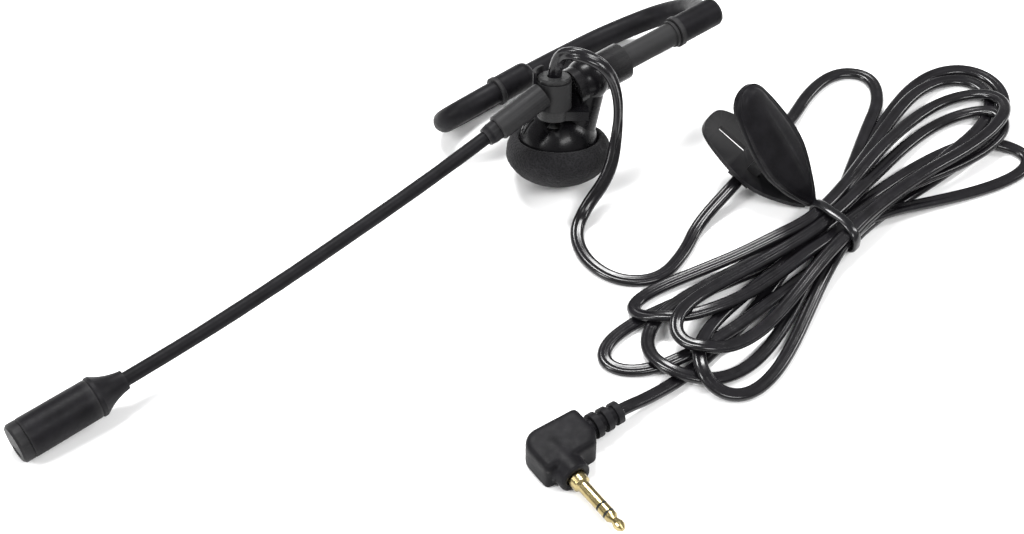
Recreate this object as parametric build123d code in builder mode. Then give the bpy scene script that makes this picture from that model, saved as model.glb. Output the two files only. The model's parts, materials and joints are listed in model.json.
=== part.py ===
from build123d import *
import math
import os

os.makedirs("parts", exist_ok=True)

# Headset microphone: an earbud with an ear hook, a bendable boom and a flat cord.
# Millimetres. z = 0 is the table it rests on, +X runs from the microphone to the hook,
# and the origin is below the middle of the object's box, without its cord.

UP = Vector(0, 0, 1)

# ---- hub: where the hook bar's axis crosses the earbud's stem ----
HUB = Vector(47.6, -7.75, 22.3)

# ---- earbud: its own axis leans, because it stands on a rounded foam cover ----
EAR_LEAN = 21.4            # degrees from upright
EAR_HEADING = 52.4         # degrees from +X, where the stem leans to
RIM_DROP = 14.0            # hub to rim, along the ear axis
RIM_ASIDE = 5.7            # the stem stands off the middle of the earbud
RIM_RADIUS = 8.2
DOME_HEIGHT = 7.8
SHELL_WALL = 1.0
CAVITY_RADIUS = RIM_RADIUS - SHELL_WALL
CAVITY_HEIGHT = DOME_HEIGHT - SHELL_WALL
FOAM_RADIUS = 11.0
FOAM_DEPTH = 7.0

# ---- barrel and hook bar ----
BARREL_RADIUS = 3.95
BARREL_LEFT = -4.2
BARREL_RIGHT = 9.0
BAR_RADIUS = 2.5
RUNNING_GAP = 0.08
CHAMBER_RADIUS = 3.2
CHAMBER_LEFT = -3.1
CHAMBER_RIGHT = 6.2
BAR_INNER_END = 3.2
BAR_OUTER_END = 29.5
SLEEVE_LEFT = 23.1
SLEEVE_RIGHT = 34.6
SLEEVE_RADIUS = 3.0

# ---- hook tube ----
HOOK_RADIUS = 2.4
HOOK_WIRE_RADIUS = 0.8

# ---- boom, drawn in one upright plane through the swivel post ----
POST_ASIDE = Vector(-8.3, 0.3, 0.9)     # from the hub to the middle of the knuckle
BOOM_SKEW = 0.0204                      # the boom's plane is turned this much from -X
KNUCKLE_RADIUS = 3.55
SPINDLE_RADIUS = 2.0
SOCKET_RADIUS = 2.65
BOOM_RADIUS = 1.45
WIRE_RADIUS = 0.5
SOCKET_START = (3.0, 24.4)
SOCKET_END = (14.2, 21.35)
BEND_POINT = (48.7, 13.4)
BEND_GAP = 1.8
BOOT_END = (102.3, 5.95)
MIC_FACE = (126.4, 4.14)
MIC_RADIUS = 4.15

# ---- plug: a right-angle plug with a three-contact 2.5 mm pin ----
PLUG_ELBOW = Vector(-7.9, -66.65, 3.3)
PLUG_HEADING = -2.0                     # degrees from +X, where the cord arm points
NOSE_RADIUS = 3.3
PIN_RADIUS = 1.25
NOSE_LENGTH = 8.1

# ---- clothing clip: it rests on its tip and on its cord ring ----
CLIP_TIP = Vector(74.3, -48.05, 2.1)
CLIP_RISE = Vector(-0.291, 0.850, 0.436)   # from the tip to the back plate's finger end
CLIP_LOOK = Vector(0.051, -0.449, 0.892)   # roughly square to the back plate
CLIP_OPENING = 28.0                        # degrees between the two plates
CLIP_LENGTH = 27.2
PLATE_THICKNESS = 1.4
PIVOT_ALONG = 13.0
FRONT_STRETCH = 1.1                        # the front plate is this much longer
RING_ALONG = 14.0
RING_WIDTH = 6.4
PIN_HOLE = 0.6

# ---- cord ----
CORD_RADIUS = 1.2
CORD_REST = 1.2            # height of the cord's middle where it lies on the table
HANK_HEIGHT = 5.0
WAIST = Vector(73.0, -57.1, 4.05)       # middle of the hank at its tie
WAIST_HEADING = 14.0
WAIST_WIDTH = 11.4
WAIST_HEIGHT = 6.0
JAW_ROOM = 3.6


def turned_part(plane, outline):
    """A piece turned about the plane's X axis from (along, radius) points."""
    with BuildPart() as piece:
        with BuildSketch(plane):
            with BuildLine():
                Polyline(*outline, close=True)
            make_face()
        revolve(axis=Axis(plane.origin, plane.x_dir))
    return piece


def ring_part(plane, start, stop, outer, inner=0.0):
    """A plain ring, or a disc, between two places on the plane's X axis."""
    return turned_part(plane, [(start, inner), (stop, inner), (stop, outer), (start, outer)])


def bend_radii(points):
    """Each corner's radius: as large as the shorter of its two runs allows."""
    radii = []
    for before, corner, after in zip(points, points[1:], points[2:]):
        run_in = Vector(*corner) - Vector(*before)
        run_out = Vector(*after) - Vector(*corner)
        half_turn = math.radians(run_in.get_angle(run_out)) / 2
        radii.append(0.45 * min(run_in.length, run_out.length) / math.tan(half_turn))
    return radii


def tube_part(points, outer, inner=0.0):
    """A round tube along straight runs joined by tangent arcs."""
    with BuildPart() as tube:
        with BuildLine() as route:
            FilletPolyline(*points, radius=bend_radii(points))
        with BuildSketch(Plane(origin=route.line @ 0, z_dir=route.line % 0)):
            Circle(outer)
            if inner:
                Circle(inner, mode=Mode.SUBTRACT)
        sweep(path=route.line)
    return tube


def save(piece, name):
    piece.part.label = name
    export_step(piece.part, f"parts/{name}.step")


# ---- planes and places worked out from the driving sizes ----
lean = math.radians(EAR_LEAN)
heading = math.radians(EAR_HEADING)
EAR_UP = Vector(math.sin(lean) * math.cos(heading), math.sin(lean) * math.sin(heading), math.cos(lean))
EAR_ACROSS = Vector(math.sin(heading), -math.cos(heading), 0)
RIM = HUB - EAR_ACROSS * RIM_ASIDE - EAR_UP * RIM_DROP
EAR = Plane(origin=RIM, x_dir=EAR_UP, z_dir=EAR_ACROSS)
EAR_FLAT = Plane(origin=RIM, x_dir=EAR_ACROSS, z_dir=EAR_UP)
BAR = Plane(origin=HUB, x_dir=(1, 0, 0), z_dir=(0, 1, 0))

POST_CENTRE = HUB + POST_ASIDE
POST = Plane(origin=POST_CENTRE, x_dir=EAR_UP, z_dir=EAR_ACROSS)
POST_FLAT = Plane(origin=POST_CENTRE, x_dir=EAR_ACROSS, z_dir=EAR_UP)

BOOM_SIDE = Vector(BOOM_SKEW, 1, 0).normalized()
BOOM_OUT = BOOM_SIDE.cross(UP).normalized() * -1
BOOM_FOOT = Vector(POST_CENTRE.X, POST_CENTRE.Y, 0)


def on_boom(reach, height):
    """A point in the boom's plane, by its reach from the post and its height."""
    return BOOM_FOOT + BOOM_OUT * reach + UP * height


def boom_plane(start, end):
    """A plane whose X runs from one point of the boom's plane to another."""
    return Plane(origin=on_boom(*start), x_dir=on_boom(*end) - on_boom(*start), z_dir=BOOM_SIDE)


SOCKET = boom_plane(SOCKET_START, SOCKET_END)
MIC = boom_plane(MIC_FACE, BOOT_END)
SOCKET_LENGTH = (on_boom(*SOCKET_END) - on_boom(*SOCKET_START)).length
print("boom out", BOOM_OUT, "socket length", round(SOCKET_LENGTH, 2))

# =====================================================================================
# Earpiece: one moulded back shell with stem and barrel, and the speaker below it
# =====================================================================================

# The back shell: a domed housing, a stem at its side, a barrel across the stem's top,
# and a lug that holds the boom's swivel post.
with BuildPart() as earpiece_shell:
    with BuildSketch(EAR):
        with BuildLine():
            Line((-1.2, 0), (DOME_HEIGHT, 0))
            ThreePointArc((DOME_HEIGHT, 0), (0.716 * DOME_HEIGHT, 0.698 * RIM_RADIUS), (0, RIM_RADIUS))
            Line((0, RIM_RADIUS), (-1.2, RIM_RADIUS))
            Line((-1.2, RIM_RADIUS), (-1.2, 0))
        make_face()
    revolve(axis=Axis(RIM, EAR_UP))
    STEM_FOOT = RIM + EAR_ACROSS * 3.4 + EAR_UP * 3.0
    with BuildSketch(Plane(origin=HUB, z_dir=STEM_FOOT - HUB)):
        Circle(4.1)
    extrude(amount=(STEM_FOOT - HUB).length)
    with Locations(HUB):
        Sphere(4.6)
    with BuildSketch(Plane.YZ.offset(HUB.X + BARREL_LEFT)):
        with Locations((HUB.Y, HUB.Z)):
            Circle(BARREL_RADIUS)
    extrude(amount=BARREL_RIGHT - BARREL_LEFT)
    with BuildSketch(POST_FLAT.offset(-5.2)):
        Circle(3.3)
        with Locations((3.8, 0)):
            Rectangle(6.4, 4.6)
    extrude(amount=1.9)
    # the hollow that the speaker sits in
    with BuildSketch(EAR):
        with BuildLine():
            Line((-1.2, 0), (CAVITY_HEIGHT, 0))
            ThreePointArc((CAVITY_HEIGHT, 0), (0.716 * CAVITY_HEIGHT, 0.698 * CAVITY_RADIUS),
                          (0, CAVITY_RADIUS))
            Line((0, CAVITY_RADIUS), (-1.2, CAVITY_RADIUS))
            Line((-1.2, CAVITY_RADIUS), (-1.2, 0))
        make_face()
    revolve(axis=Axis(RIM, EAR_UP), mode=Mode.SUBTRACT)
    # the chamber and bore that the bar slides in, and the hole that the wires run down
    with BuildSketch(Plane.YZ.offset(HUB.X + CHAMBER_LEFT)):
        with Locations((HUB.Y, HUB.Z)):
            Circle(CHAMBER_RADIUS)
    extrude(amount=CHAMBER_RIGHT - CHAMBER_LEFT, mode=Mode.SUBTRACT)
    with BuildSketch(Plane.YZ.offset(HUB.X + CHAMBER_RIGHT)):
        with Locations((HUB.Y, HUB.Z)):
            Circle(BAR_RADIUS + RUNNING_GAP)
    extrude(amount=BARREL_RIGHT - CHAMBER_RIGHT + 1, mode=Mode.SUBTRACT)
    with BuildSketch(Plane(origin=HUB, z_dir=STEM_FOOT - HUB)):
        Circle(1.6)
    extrude(amount=(STEM_FOOT - HUB).length, mode=Mode.SUBTRACT)
    with BuildSketch(POST_FLAT.offset(-5.2)):
        Circle(SPINDLE_RADIUS)
    extrude(amount=1.9, mode=Mode.SUBTRACT)
    with BuildSketch(POST_FLAT.offset(-8.0)):
        Circle(1.5)
    extrude(amount=3.0, mode=Mode.SUBTRACT)
    # four vent slots through the dome, on the side away from the stem
    for turn in (150, 166, 182, 198):
        direction = math.radians(turn)
        outward = EAR_ACROSS * math.cos(direction) + EAR_UP.cross(EAR_ACROSS) * math.sin(direction)
        slot_plane = Plane(origin=RIM + EAR_UP * 4.2 + outward * 4.0, x_dir=EAR_UP, z_dir=outward)
        with BuildSketch(slot_plane):
            SlotOverall(3.4, 0.8)
        extrude(amount=5, mode=Mode.SUBTRACT)
save(earpiece_shell, "earpiece_shell")

# The front ring and its perforated plate close the housing towards the ear.
with BuildPart() as earbud_front:
    with BuildSketch(EAR):
        with BuildLine():
            Polyline((-1.2, RIM_RADIUS), (-1.2, 7.2), (-3.6, 7.2), (-3.6, 0), (-4.4, 0),
                     (-4.4, 7.0), (-3.4, RIM_RADIUS), close=True)
        make_face()
    revolve(axis=Axis(RIM, EAR_UP))
    for ring, count in ((0.0, 1), (2.0, 6), (4.0, 12), (5.8, 18)):
        for step in range(count):
            angle = 2 * math.pi * step / count
            spot = (ring * math.cos(angle), ring * math.sin(angle))
            with BuildSketch(EAR_FLAT.offset(-5)):
                with Locations(spot):
                    Circle(0.4)
            extrude(amount=1.8, mode=Mode.SUBTRACT)
save(earbud_front, "earbud_front")

save(ring_part(EAR, -1.6, 0.2, 7.1, 5.5), "speaker_frame")
YOKE = [(0.4, 0), (3.4, 0), (3.4, 5.4), (-0.4, 5.4), (-0.4, 4.4), (0.4, 4.4)]
save(turned_part(EAR, YOKE), "speaker_yoke")
save(ring_part(EAR, -0.9, 0.4, 3.4), "speaker_magnet")
save(ring_part(EAR, -1.5, -0.9, 3.3), "speaker_pole_plate")
save(ring_part(EAR, -2.4, 0.2, 3.9, 3.6), "voice_coil")
DIAPHRAGM = [(-2.5, 0), (-2.9, 0), (-2.6, 4.0), (-1.8, 7.0), (-1.65, 7.0), (-2.4, 4.0)]
save(turned_part(EAR, DIAPHRAGM), "speaker_diaphragm")

# The vent felt backs the slots inside the dome.
with BuildPart() as vent_felt:
    with BuildSketch(EAR_FLAT.offset(3.45)):
        Circle(5.3)
        with Locations((4.4, 0)):
            Rectangle(6.0, 12.0, mode=Mode.SUBTRACT)
    extrude(amount=0.5)
save(vent_felt, "vent_felt")

# The foam cover: domed towards the ear, with a lip that hugs the housing.
with BuildPart() as foam_cover:
    with BuildSketch(EAR):
        with BuildLine():
            Line((-4.4, 0), (-1.7 - FOAM_DEPTH, 0))
            Bezier((-1.7 - FOAM_DEPTH, 0), (-1.7 - FOAM_DEPTH, 0.55 * FOAM_RADIUS),
                   (-1.7 - 0.55 * FOAM_DEPTH, FOAM_RADIUS), (-1.7, FOAM_RADIUS))
            ThreePointArc((-1.7, FOAM_RADIUS), (0.6, 10.2), (1.5, 8.6))
            Polyline((1.5, 8.6), (1.3, 8.25), (-4.4, 8.25), (-4.4, 0))
        make_face()
    revolve(axis=Axis(RIM, EAR_UP))
save(foam_cover, "foam_cover")

# =====================================================================================
# Swivel post, which is also the gland that the cord comes out of
# =====================================================================================
save(turned_part(POST, [(-5.2, 1.5), (3.7, 1.5), (3.7, 3.1), (3.4, 3.4), (2.85, 3.4), (2.85, SPINDLE_RADIUS),
                        (-5.2, SPINDLE_RADIUS)]), "swivel_post")
save(ring_part(POST, -3.3, -3.0, 3.3, 2.1), "swivel_washer")

# =====================================================================================
# Boom arm: a knuckle round the post, a cord guard behind it, and the boom's socket
# =====================================================================================
GUARD_RADIUS = 4.35
GUARD_ENDS = (math.radians(125), math.radians(195))


def guard_face(height, inner):
    """A curved band behind the knuckle, at a height on the post, from an inner radius out."""
    def spot(radius, turn):
        return (radius * math.cos(turn), radius * math.sin(turn))

    middle = sum(GUARD_ENDS) / 2
    with BuildSketch(POST_FLAT.offset(height)) as band:
        with BuildLine():
            for radius in (GUARD_RADIUS, inner):
                ThreePointArc(spot(radius, GUARD_ENDS[0]), spot(radius, middle), spot(radius, GUARD_ENDS[1]))
            for turn in GUARD_ENDS:
                Line(spot(inner, turn), spot(GUARD_RADIUS, turn))
        make_face()
    return band.sketch


with BuildPart() as boom_arm:
    with BuildSketch(POST_FLAT.offset(-2.95)):
        Circle(KNUCKLE_RADIUS)
    extrude(amount=5.6)
    with BuildSketch(SOCKET):
        with BuildLine():
            Polyline((0, 0), (SOCKET_LENGTH, 0), (SOCKET_LENGTH, SOCKET_RADIUS - 0.2),
                     (SOCKET_LENGTH - 0.3, SOCKET_RADIUS), (0, SOCKET_RADIUS), close=True)
        make_face()
    revolve(axis=Axis(SOCKET.origin, SOCKET.x_dir))
    extrude(guard_face(-1.0, 3.45), amount=3.6)
    extrude(guard_face(2.5, 3.7), amount=2.2)
    with BuildSketch(POST_FLAT.offset(-4)):
        Circle(SPINDLE_RADIUS + RUNNING_GAP)
    extrude(amount=8, mode=Mode.SUBTRACT)
    with BuildSketch(SOCKET):
        with BuildLine():
            Polyline((5.0, 0), (SOCKET_LENGTH + 1, 0), (SOCKET_LENGTH + 1, 1.7), (5.0, 1.7), close=True)
        make_face()
    revolve(axis=Axis(SOCKET.origin, SOCKET.x_dir), mode=Mode.SUBTRACT)
save(boom_arm, "boom_arm")

# The ferrule: a stepped collar pressed into the socket, round the boom's end.
save(turned_part(SOCKET, [(6.0, BOOM_RADIUS), (SOCKET_LENGTH + 3.0, BOOM_RADIUS), (SOCKET_LENGTH + 3.0, 1.9),
                          (SOCKET_LENGTH + 1.6, 2.15), (SOCKET_LENGTH, 2.15), (SOCKET_LENGTH, 1.7),
                          (6.0, 1.7)]),
     "boom_ferrule")

# The boom's near half: rubber tube over a bendable wire, up to the bend's place.
SOCKET_SLOPE = (SOCKET_END[1] - SOCKET_START[1]) / (SOCKET_END[0] - SOCKET_START[0])
MIC_SLOPE = (MIC_FACE[1] - BOOT_END[1]) / (MIC_FACE[0] - BOOT_END[0])


def on_socket_line(reach):
    return on_boom(reach, SOCKET_START[1] + (reach - SOCKET_START[0]) * SOCKET_SLOPE)


def on_mic_line(reach):
    return on_boom(reach, BOOT_END[1] + (reach - BOOT_END[0]) * MIC_SLOPE)


near_points = [on_socket_line(10.0), on_socket_line(23.0), on_boom(BEND_POINT[0] - BEND_GAP, 13.75)]
near_route = [tuple(point) for point in near_points]
save(tube_part(near_route, BOOM_RADIUS, WIRE_RADIUS), "boom_tube_near")
save(tube_part(near_route, WIRE_RADIUS), "boom_wire_near")

# The far half starts in a ball at the bend's centre, so that it clears the near half.
far_points = [on_boom(*BEND_POINT), on_boom(66.0, 10.2), on_boom(82.0, 7.75), on_mic_line(97.5),
              on_mic_line(107.2)]
far_route = [tuple(point) for point in far_points]
with BuildPart() as boom_tube_far:
    with BuildLine() as far_line:
        FilletPolyline(*far_route, radius=bend_radii(far_route))
    with BuildSketch(Plane(origin=far_line.line @ 0, z_dir=far_line.line % 0)):
        Circle(BOOM_RADIUS)
    sweep(path=far_line.line)
    with Locations(on_boom(*BEND_POINT)):
        Sphere(BOOM_RADIUS)
    with BuildSketch(Plane(origin=far_line.line @ 0, z_dir=far_line.line % 0)):
        Circle(WIRE_RADIUS)
    sweep(path=far_line.line, mode=Mode.SUBTRACT)
save(boom_tube_far, "boom_tube_far")
save(tube_part(far_route, WIRE_RADIUS), "boom_wire_far")

# =====================================================================================
# Microphone at the boom's end, turned about its own axis from the front face back
# =====================================================================================
BODY_BACK = 17.1
BOOT_BACK = 24.1
with BuildPart() as mic_front_cap:
    with BuildSketch(MIC):
        with BuildLine():
            Polyline((0, 0), (1.2, 0), (1.2, 2.8), (3.2, 2.8), (3.2, 3.3), (2.2, 3.3),
                     (2.2, MIC_RADIUS - 0.05),
                     (0.5, MIC_RADIUS - 0.05), (0, MIC_RADIUS - 0.5), close=True)
        make_face()
    revolve(axis=Axis(MIC.origin, MIC.x_dir))
    # the sound port: a slot near the cap's upper edge
    with BuildSketch(Plane(origin=MIC.origin, x_dir=BOOM_SIDE, z_dir=MIC.x_dir)):
        with Locations((0, -2.2)):
            SlotOverall(3.2, 0.9)
    extrude(amount=1.3, mode=Mode.SUBTRACT)
save(mic_front_cap, "mic_front_cap")
save(turned_part(MIC, [(2.3, 3.3), (BODY_BACK, 3.3), (BODY_BACK, 3.95), (BODY_BACK - 0.4, 4.05),
                       (3.0, MIC_RADIUS),
                       (2.5, MIC_RADIUS - 0.05), (2.3, MIC_RADIUS - 0.2)]), "mic_sleeve")
save(ring_part(MIC, 1.2, 2.0, 2.75), "mic_felt")
save(ring_part(MIC, 3.3, 8.3, 3.3, 3.0), "mic_grommet")
save(ring_part(MIC, 3.3, 8.0, 3.0), "mic_capsule")
save(ring_part(MIC, 8.0, 8.8, 2.9), "mic_board")
with BuildPart() as mic_boot:
    with BuildSketch(MIC):
        with BuildLine():
            Polyline((19.2, BOOM_RADIUS), (BOOT_BACK, BOOM_RADIUS), (BOOT_BACK, 2.0))
            ThreePointArc((BOOT_BACK, 2.0), (20.9, 2.75), (18.5, 3.95))
            Polyline((18.5, 3.95), (18.1, 4.2), (17.4, 4.2), (BODY_BACK, 3.95), (BODY_BACK, 3.3), (14.0, 3.3),
                     (14.0, 2.4), (19.2, 2.4), (19.2, BOOM_RADIUS))
        make_face()
    revolve(axis=Axis(MIC.origin, MIC.x_dir))
save(mic_boot, "mic_boot")

# =====================================================================================
# Hook bar, which slides in the barrel, and the ear hook, which turns on the bar
# =====================================================================================
save(ring_part(BAR, BAR_INNER_END, BAR_OUTER_END, BAR_RADIUS, 0.9), "hook_bar")
save(ring_part(BAR, BAR_INNER_END, BAR_INNER_END + 1.0, 3.05, BAR_RADIUS), "bar_stop_ring")

HOOK_SOCKET = HUB + Vector(31.4, 0, 0)
HOOK_IN = Vector(0, 24.4, HOOK_RADIUS - HUB.Z).normalized()     # from the bar to the loop's far strand
HOOK_EXIT = (HOOK_IN + Vector(0.5, 0, 0)).normalized()
HOOK_BOSS = 5.2
with BuildPart() as hook_sleeve:
    with BuildSketch(BAR):
        with BuildLine():
            Polyline((SLEEVE_LEFT, 0), (SLEEVE_RIGHT, 0), (SLEEVE_RIGHT, SLEEVE_RADIUS - 0.9),
                     (SLEEVE_RIGHT - 0.3, SLEEVE_RADIUS - 0.3), (SLEEVE_RIGHT - 0.9, SLEEVE_RADIUS),
                     (SLEEVE_LEFT + 1.1, SLEEVE_RADIUS), (SLEEVE_LEFT + 1.1, SLEEVE_RADIUS + 0.25),
                     (SLEEVE_LEFT, SLEEVE_RADIUS + 0.25), close=True)
        make_face()
    revolve(axis=Axis(BAR.origin, BAR.x_dir))
    with BuildSketch(Plane(origin=HOOK_SOCKET, z_dir=HOOK_EXIT)):
        Circle(HOOK_RADIUS + 0.35)
    extrude(amount=HOOK_BOSS)
    with BuildSketch(Plane.YZ.offset(HUB.X + SLEEVE_LEFT)):
        with Locations((HUB.Y, HUB.Z)):
            Circle(BAR_RADIUS + RUNNING_GAP)
    extrude(amount=BAR_OUTER_END - SLEEVE_LEFT + 0.3, mode=Mode.SUBTRACT)
save(hook_sleeve, "hook_sleeve")
save(ring_part(BAR, SLEEVE_LEFT - 0.9, SLEEVE_LEFT - 0.3, 2.85, BAR_RADIUS), "bar_snap_ring")

LOW = HOOK_RADIUS - HUB.Z
hook_points = [HOOK_SOCKET + HOOK_EXIT * HOOK_BOSS, HOOK_SOCKET + HOOK_EXIT * 14.5,
               HUB + Vector(36.2, 18.8, -15.3), HUB + Vector(25.0, 24.5, LOW), HUB + Vector(5.0, 25.0, LOW),
               HUB + Vector(-13.5, 24.4, LOW), HUB + Vector(-20.6, 22.6, -17.6),
               HUB + Vector(-20.9, 18.9, -12.9), HUB + Vector(-14.0, 17.0, -10.3),
               HUB + Vector(-7.5, 17.0, -10.1)]
hook_route = [tuple(point) for point in hook_points]
save(tube_part(hook_route, HOOK_RADIUS, HOOK_WIRE_RADIUS), "hook_tube")
save(tube_part(hook_route, HOOK_WIRE_RADIUS), "hook_wire")
TIP = Plane(origin=hook_points[-1], x_dir=hook_points[-1] - hook_points[-2], z_dir=(0, 1, 0))
with BuildPart() as hook_tip:
    with BuildSketch(TIP):
        with BuildLine():
            Polyline((-3.0, HOOK_RADIUS), (-3.0, 3.1), (-2.2, 3.1), (-2.0, 2.9), (4.2, 2.9))
            Bezier((4.2, 2.9), (5.8, 2.9), (6.4, 1.6), (6.4, 0))
            Polyline((6.4, 0), (0, 0), (0, HOOK_RADIUS), (-3.0, HOOK_RADIUS))
        make_face()
    revolve(axis=Axis(TIP.origin, TIP.x_dir))
save(hook_tip, "hook_tip")

# =====================================================================================
# Plug: overmoulded body, ribbed strain relief and the three-contact pin
# =====================================================================================
arm_angle = math.radians(PLUG_HEADING)
ARM_OUT = Vector(math.cos(arm_angle), math.sin(arm_angle), 0)
PIN_OUT = Vector(math.sin(arm_angle), -math.cos(arm_angle), 0)
ARM = Plane(origin=PLUG_ELBOW, x_dir=ARM_OUT, z_dir=UP)
ARM_TURN = Plane(origin=PLUG_ELBOW, x_dir=ARM_OUT, z_dir=PIN_OUT)
PIN = Plane(origin=PLUG_ELBOW, x_dir=PIN_OUT, z_dir=ARM_OUT)
COLLAR_END = NOSE_LENGTH + 2.2
SLEEVE_END = COLLAR_END + 5.4
RING_END = SLEEVE_END + 2.1
PIN_END = NOSE_LENGTH + 14.4

with BuildPart() as plug_body:
    with BuildSketch(ARM.offset(-NOSE_RADIUS + 0.1)):
        with BuildLine():
            Polyline((-1.0, 4.3), (8.6, 4.0), (8.6, -2.6), (6.8, -5.2), (-4.6, -5.2), (-4.6, 0.5))
            ThreePointArc((-4.6, 0.5), (-3.6, 3.1), (-1.0, 4.3))
        make_face()
    extrude(amount=2 * NOSE_RADIUS - 0.2)
    fillet(plug_body.edges().filter_by(Axis.Z), radius=0.9)
    fillet(plug_body.faces().sort_by(Axis.Z)[-1].edges(), radius=1.1)
    with BuildSketch(PIN):
        Rectangle(NOSE_LENGTH, NOSE_RADIUS, align=(Align.MIN, Align.MIN))
    revolve(axis=Axis(PLUG_ELBOW, PIN_OUT))
    with BuildSketch(Plane(origin=PLUG_ELBOW + PIN_OUT * 1.0, z_dir=PIN_OUT)):
        Circle(1.9)
    extrude(amount=NOSE_LENGTH, mode=Mode.SUBTRACT)
    with BuildSketch(Plane(origin=PLUG_ELBOW + ARM_OUT * 4.0, z_dir=ARM_OUT)):
        Circle(1.9)
    extrude(amount=6, mode=Mode.SUBTRACT)
save(plug_body, "plug_body")

relief_outline = [(4.0, 1.25), (15.9, 1.25), (15.9, 2.3)]
for rib in range(3):
    rib_end = 15.9 - 2.5 * rib
    rib_radius = 2.3 + 0.15 * rib
    relief_outline += [(rib_end - 1.3, rib_radius), (rib_end - 1.3, 1.8)]
    relief_outline += [(rib_end - 2.5, 1.8), (rib_end - 2.5, rib_radius + 0.15)]
relief_outline = relief_outline[:-1] + [(4.0, 1.85)]
save(turned_part(ARM_TURN, relief_outline), "plug_relief")

save(turned_part(PIN, [(1.2, 0.85), (SLEEVE_END, 0.85), (SLEEVE_END, PIN_RADIUS), (COLLAR_END, PIN_RADIUS),
                       (COLLAR_END - 0.5, 1.75), (NOSE_LENGTH + 0.2, 1.85), (1.2, 1.85)]),
     "plug_sleeve_contact")
save(ring_part(PIN, SLEEVE_END + 0.5, RING_END, PIN_RADIUS, 0.85), "plug_ring_contact")
save(turned_part(PIN, [(2.0, 0), (PIN_END, 0), (PIN_END - 0.15, 0.45), (PIN_END - 0.9, 1.0),
                       (PIN_END - 1.6, 1.1),
                       (PIN_END - 2.8, 0.75), (PIN_END - 3.3, 1.05), (PIN_END - 3.6, PIN_RADIUS),
                       (RING_END + 0.5, PIN_RADIUS), (RING_END + 0.5, 0.5), (2.0, 0.5)]), "plug_tip_contact")
with BuildPart() as plug_insulators:
    for start, stop, outer, inner in ((2.0, RING_END, 0.85, 0.5),
                                      (SLEEVE_END, SLEEVE_END + 0.5, PIN_RADIUS, 0.85),
                                      (RING_END, RING_END + 0.5, PIN_RADIUS, 0.5)):
        with BuildSketch(PIN):
            with BuildLine():
                Polyline((start, inner), (stop, inner), (stop, outer), (start, outer), close=True)
            make_face()
        revolve(axis=Axis(PIN.origin, PIN.x_dir))
save(plug_insulators, "plug_insulators")

# =====================================================================================
# Clothing clip: two leaf-shaped plates, hinged and sprung, with a ring for the cord
# =====================================================================================
CLIP_RISE = CLIP_RISE.normalized()
CLIP_ACROSS = CLIP_LOOK.cross(CLIP_RISE).normalized()
CLIP_FACE = CLIP_RISE.cross(CLIP_ACROSS)
BACK = Plane(origin=CLIP_TIP, x_dir=CLIP_RISE, z_dir=CLIP_FACE)
opening = math.radians(CLIP_OPENING)
FRONT_RISE = CLIP_RISE * math.cos(opening) + CLIP_FACE * math.sin(opening)
FRONT_FACE = FRONT_RISE.cross(CLIP_ACROSS)
FRONT = Plane(origin=CLIP_TIP + FRONT_FACE * 0.35, x_dir=FRONT_RISE, z_dir=FRONT_FACE)
PIVOT_LIFT = (PIVOT_ALONG + 0.7) * math.tan(opening / 2)
PIVOT = CLIP_TIP + CLIP_RISE * PIVOT_ALONG + CLIP_FACE * PIVOT_LIFT
LEAF = [(0, 0.5), (4.4, 3.5), (10.6, 6.0), (15.6, 6.1), (21.0, 5.2), (25.4, 3.7), (CLIP_LENGTH, 0)]
print("clip pivot", PIVOT, "axis", CLIP_ACROSS)


def leaf_face(plane, stretch=1.0):
    """The leaf outline: a narrow tip, a wide middle and a rounded finger end."""
    outline = [(along * stretch, across) for along, across in LEAF]
    with BuildSketch(plane) as leaf:
        with BuildLine():
            Spline(*outline, tangents=((1.0, 1.0), (0, -1.0)))
            Spline(*[(along, -across) for along, across in outline], tangents=((1.0, -1.0), (0, 1.0)))
            Line((0, LEAF[0][1]), (0, -LEAF[0][1]))
        make_face()
    return leaf.sketch


def hinge_lug(plane, across, width):
    """One hinge lug on a plate: a rounded tab with its eye at the pivot."""
    along = (PIVOT - plane.origin).dot(plane.x_dir)
    rise = (PIVOT - plane.origin).dot(plane.z_dir)
    side = Plane(origin=plane.origin + plane.y_dir * across, x_dir=plane.x_dir, z_dir=plane.y_dir * -1)
    with BuildPart() as lug:
        with BuildSketch(side):
            with Locations((along, rise)):
                Circle(1.35)
            with Locations((along, rise / 2)):
                Rectangle(2.7, abs(rise))
        extrude(amount=width)
        with BuildSketch(side):
            with Locations((along, rise)):
                Circle(PIN_HOLE + 0.05)
        extrude(amount=width, mode=Mode.SUBTRACT)
    return lug.part


back_lugs = [hinge_lug(BACK, across, 1.0) for across in (3.6, -2.6)]
with BuildPart() as clip_back_plate:
    extrude(leaf_face(BACK.offset(-PLATE_THICKNESS)), amount=PLATE_THICKNESS)
    add(back_lugs)
    # the ring on the plate's back that the cord runs through
    with BuildSketch(BACK.offset(-PLATE_THICKNESS)):
        with Locations((RING_ALONG, 0)):
            Rectangle(5.2, RING_WIDTH)
    extrude(amount=-4.9)
    channel = Plane(origin=CLIP_TIP + CLIP_RISE * RING_ALONG - CLIP_FACE * (PLATE_THICKNESS + 2.2),
                    x_dir=CLIP_RISE, z_dir=CLIP_ACROSS)
    with BuildSketch(channel.offset(-5)):
        RectangleRounded(3.4, 3.4, 1.2)
    extrude(amount=10, mode=Mode.SUBTRACT)
    # a narrow slot at the finger end
    with BuildSketch(BACK.offset(-PLATE_THICKNESS)):
        with Locations((20.6, 0.3)):
            SlotOverall(7.4, 1.1)
    extrude(amount=PLATE_THICKNESS, mode=Mode.SUBTRACT)
save(clip_back_plate, "clip_back_plate")

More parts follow.
